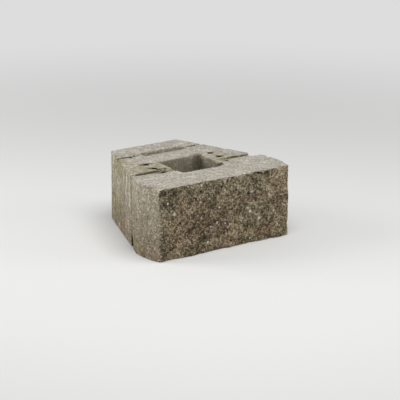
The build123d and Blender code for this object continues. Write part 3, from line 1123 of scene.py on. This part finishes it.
def lay_stones(tree, groups, place, colour):
    """Adds the scattered stones, each kind with its own few colours"""
    for size, share, radius, strength, hues in STONE_KINDS:
        stones = place_group(tree, groups["fleck"], place, Size=size, Share=share, Radius=radius)
        ramp = add(tree, "ShaderNodeValToRGB")
        ramp.color_ramp.interpolation = "CONSTANT"
        ramp.color_ramp.elements[0].color = (*hues[0], 1.0)
        ramp.color_ramp.elements[1].position = 1.0 / len(hues)
        ramp.color_ramp.elements[1].color = (*hues[1], 1.0)
        for index in range(2, len(hues)):
            ramp.color_ramp.elements.new(index / len(hues)).color = (*hues[index], 1.0)
        tree.links.new(stones.outputs["Kind"], ramp.inputs["Fac"])
        mask = product(tree, stones.outputs["Mask"], strength)
        colour = blend(tree, mask, colour, ramp.outputs["Color"])
    return colour


def lay_spots(tree, groups, place, colour, spots, tint):
    """Adds single stones or pits of one colour at their own places"""
    for x, z, radius in spots:
        centre = (x * MM, FACE_Y, z * MM)
        size = (radius * MM, SPOT_REACH, radius * MM)
        mask = stain_mask(tree, groups, place, centre, size, SPOT_RAGGED, SPOT_NOTCH)
        colour = blend(tree, product(tree, mask, SPOT_STRENGTH), colour, tint)
    return colour


def split_material(finish, groups):
    """Broken concrete: dark sandy paste with bared stones of several colours"""
    material, tree, shader, place = start_material("split concrete")
    patterns = place_patterns(tree, groups, place, SPLIT_PATTERNS)
    light = split_light(tree, place, patterns)
    colour = textured(tree, finish.split_colour, light)
    colour = lay_regions(tree, groups, place, patterns, colour, finish, light)
    colour = lay_stones(tree, groups, place, colour)
    # painted shade in hollows, painted light on open places
    colour = textured(tree, colour, map_range(tree, attribute_value(tree, "hollow"), *PAINTED_SHADE_BY_HOLLOW))
    colour = lay_spots(tree, groups, place, colour, BRIGHT_STONES, finish.bright_colour)
    # the pits are painted near-black: painted shade
    colour = lay_spots(tree, groups, place, colour, DARK_PITS, finish.deep_shade_colour)
    tree.links.new(colour, shader.inputs["Base Color"])
    roughness = map_range(tree, patterns["grain"].outputs["Tone"], *SPLIT_ROUGHNESS)
    tree.links.new(roughness, shader.inputs["Roughness"])
    small = product(tree, patterns["small"].outputs["Body"], SMALL_STONE_HEIGHT)
    large = product(tree, patterns["large"].outputs["Tone"], LARGE_STONE_HEIGHT)
    height = math_node(tree, "ADD", patterns["grain"].outputs["Height"], small)
    bump(tree, shader, math_node(tree, "ADD", height, large), *SPLIT_BUMP)
    return material


class WALLBLOCK_OT_block(bpy.types.Operator):
    """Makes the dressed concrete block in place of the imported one"""

    bl_idname = "wallblock.block"
    bl_label = "Concrete block"

    def execute(self, context):
        shape = context.scene.wall_block_shape
        finish = context.scene.wall_block_finish
        packed = merged_copy(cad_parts[NODE])
        mesh_data = bpy.data.meshes.new("cast_block")
        packed.to_mesh(mesh_data)
        block = bpy.data.objects.new("cast_block", mesh_data)
        context.scene.collection.objects.link(block)
        arrises = arris_points(packed)
        cell = shape.cell
        mesh_data = finished_mesh(block, "REMESH", {"mode": "VOXEL", "voxel_size": cell})
        sculpt(mesh_data, shape, packed, arrises)
        mesh_data.calc_loop_triangles()
        share = min(1.0, shape.triangles / len(mesh_data.loop_triangles))
        mesh_data = finished_mesh(block, "DECIMATE", {"ratio": share})
        hold_in_box(mesh_data)
        store_exposure(mesh_data, packed)
        if not mesh_data.polygons:
            raise RuntimeError("the block came out empty")
        groups = {
            "grain": grain_group(),
            "fleck": fleck_group(),
            "aggregate": aggregate_group(),
            "stain": stain_group(),
            "drag": drag_group(),
        }
        mesh_data.materials.clear()
        mesh_data.materials.append(cast_material(finish, groups))
        mesh_data.materials.append(split_material(finish, groups))
        mark_split_faces(mesh_data, packed)
        mesh_data.shade_smooth()
        packed.free()
        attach(block, "root")
        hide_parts(NODE)
        return {"FINISHED"}


def soft_light(name, power, place, size, target):
    """A square area light that faces a target"""
    data = bpy.data.lights.new(name, "AREA")
    data.shape = "SQUARE"
    data.size = size
    data.energy = power
    lamp = bpy.data.objects.new(name, data)
    lamp.location = place
    lamp.rotation_euler = (target - place).to_track_quat("-Z", "Y").to_euler()
    bpy.context.scene.collection.objects.link(lamp)


class WALLBLOCK_OT_stage(bpy.types.Operator):
    """Makes the floor, the soft light and the camera"""

    bl_idname = "wallblock.stage"
    bl_label = "Floor, light and camera"

    def execute(self, context):
        stage = context.scene.wall_block_stage
        context.scene.view_settings.view_transform = "Standard"
        floor_mesh = bmesh.new()
        bmesh.ops.create_grid(floor_mesh, x_segments=1, y_segments=1, size=FLOOR_REACH)
        mesh_data = bpy.data.meshes.new("floor")
        floor_mesh.to_mesh(mesh_data)
        floor_mesh.free()
        floor = bpy.data.objects.new("floor", mesh_data)
        context.scene.collection.objects.link(floor)
        material, tree, shader, place = start_material("floor paint")
        shader.inputs["Base Color"].default_value = (*stage.floor_colour, 1.0)
        shader.inputs["Roughness"].default_value = FLOOR_ROUGHNESS
        self.fade_floor(tree, shader, place, stage)
        mesh_data.materials.append(material)
        middle = (BOX_LOW + BOX_HIGH) / 2
        for name, power, place, size in LIGHTS:
            soft_light(name, getattr(stage, power), Vector(place), size, middle)
        world = bpy.data.worlds.new("sky")
        world.use_nodes = True
        background = world.node_tree.nodes["Background"]
        background.inputs["Color"].default_value = (1.0, 1.0, 1.0, 1.0)
        seen = add(world.node_tree, "ShaderNodeLightPath").outputs["Is Camera Ray"]
        strength = map_range(world.node_tree, seen, 0.0, 1.0, stage.sky, stage.backdrop)
        world.node_tree.links.new(strength, background.inputs["Strength"])
        context.scene.world = world
        self.place_camera(context, stage)
        return {"FINISHED"}

    def fade_floor(self, tree, shader, place, stage):
        """Lets the far floor meet the backdrop for the camera, without lighting the block"""
        distance = add(tree, "ShaderNodeVectorMath", operation="LENGTH")
        tree.links.new(place, distance.inputs[0])
        seen = add(tree, "ShaderNodeLightPath").outputs["Is Camera Ray"]
        far = map_range(tree, distance.outputs["Value"], stage.fade_start, stage.fade_end)
        glow = add(tree, "ShaderNodeEmission")
        glow.inputs["Strength"].default_value = stage.backdrop
        both = add(tree, "ShaderNodeMixShader")
        tree.links.new(math_node(tree, "MULTIPLY", far, seen), both.inputs["Fac"])
        tree.links.new(shader.outputs["BSDF"], both.inputs[1])
        tree.links.new(glow.outputs["Emission"], both.inputs[2])
        tree.links.new(both.outputs["Shader"], tree.nodes["Material Output"].inputs["Surface"])

    def place_camera(self, context, stage):
        """Stands the camera where the photograph was taken from"""
        back = Vector((
            math.sin(stage.azimuth) * math.cos(stage.elevation),
            -math.cos(stage.azimuth) * math.cos(stage.elevation),
            math.sin(stage.elevation),
        ))
        right = (-back).cross(Vector((0, 0, 1))).normalized()
        up = right.cross(-back)
        right, up = (
            math.cos(CAMERA_ROLL) * right + math.sin(CAMERA_ROLL) * up,
            -math.sin(CAMERA_ROLL) * right + math.cos(CAMERA_ROLL) * up,
        )
        aim = Vector((0, FACE_Y, CAMERA_AIM_HEIGHT))
        place = aim + right * CAMERA_ASIDE + up * CAMERA_ABOVE + back * stage.distance
        data = bpy.data.cameras.new("camera")
        data.lens = stage.focal_length
        data.sensor_width = SENSOR_WIDTH
        camera = bpy.data.objects.new("camera", data)
        camera.matrix_world = Matrix.Translation(place) @ Matrix((right, up, back)).transposed().to_4x4()
        context.scene.collection.objects.link(camera)
        context.scene.camera = camera


class WALLBLOCK_PT_panel(bpy.types.Panel):
    """Lists the block's settings and steps in the sidebar"""

    bl_idname = "WALLBLOCK_PT_panel"
    bl_label = "Wall block"
    bl_space_type = "VIEW_3D"
    bl_region_type = "UI"
    bl_category = "Wall block"

    def draw(self, context):
        for name in ("wall_block_shape", "wall_block_finish", "wall_block_stage"):
            group = getattr(context.scene, name)
            box = self.layout.box()
            for key in type(group).__annotations__:
                box.prop(group, key)
        self.layout.operator(WALLBLOCK_OT_block.bl_idname)
        self.layout.operator(WALLBLOCK_OT_stage.bl_idname)


CLASSES = (
    WallBlockShape,
    WallBlockFinish,
    WallBlockStage,
    WALLBLOCK_OT_block,
    WALLBLOCK_OT_stage,
    WALLBLOCK_PT_panel,
)


def register():
    for item in CLASSES:
        bpy.utils.register_class(item)
    bpy.types.Scene.wall_block_shape = bpy.props.PointerProperty(type=WallBlockShape)
    bpy.types.Scene.wall_block_finish = bpy.props.PointerProperty(type=WallBlockFinish)
    bpy.types.Scene.wall_block_stage = bpy.props.PointerProperty(type=WallBlockStage)


def unregister():
    del bpy.types.Scene.wall_block_stage
    del bpy.types.Scene.wall_block_finish
    del bpy.types.Scene.wall_block_shape
    for item in reversed(CLASSES):
        bpy.utils.unregister_class(item)


def main():
    """Makes the block and its stage"""
    register()
    bpy.ops.wallblock.block()
    bpy.ops.wallblock.stage()


if __name__ == "__main__":
    main()
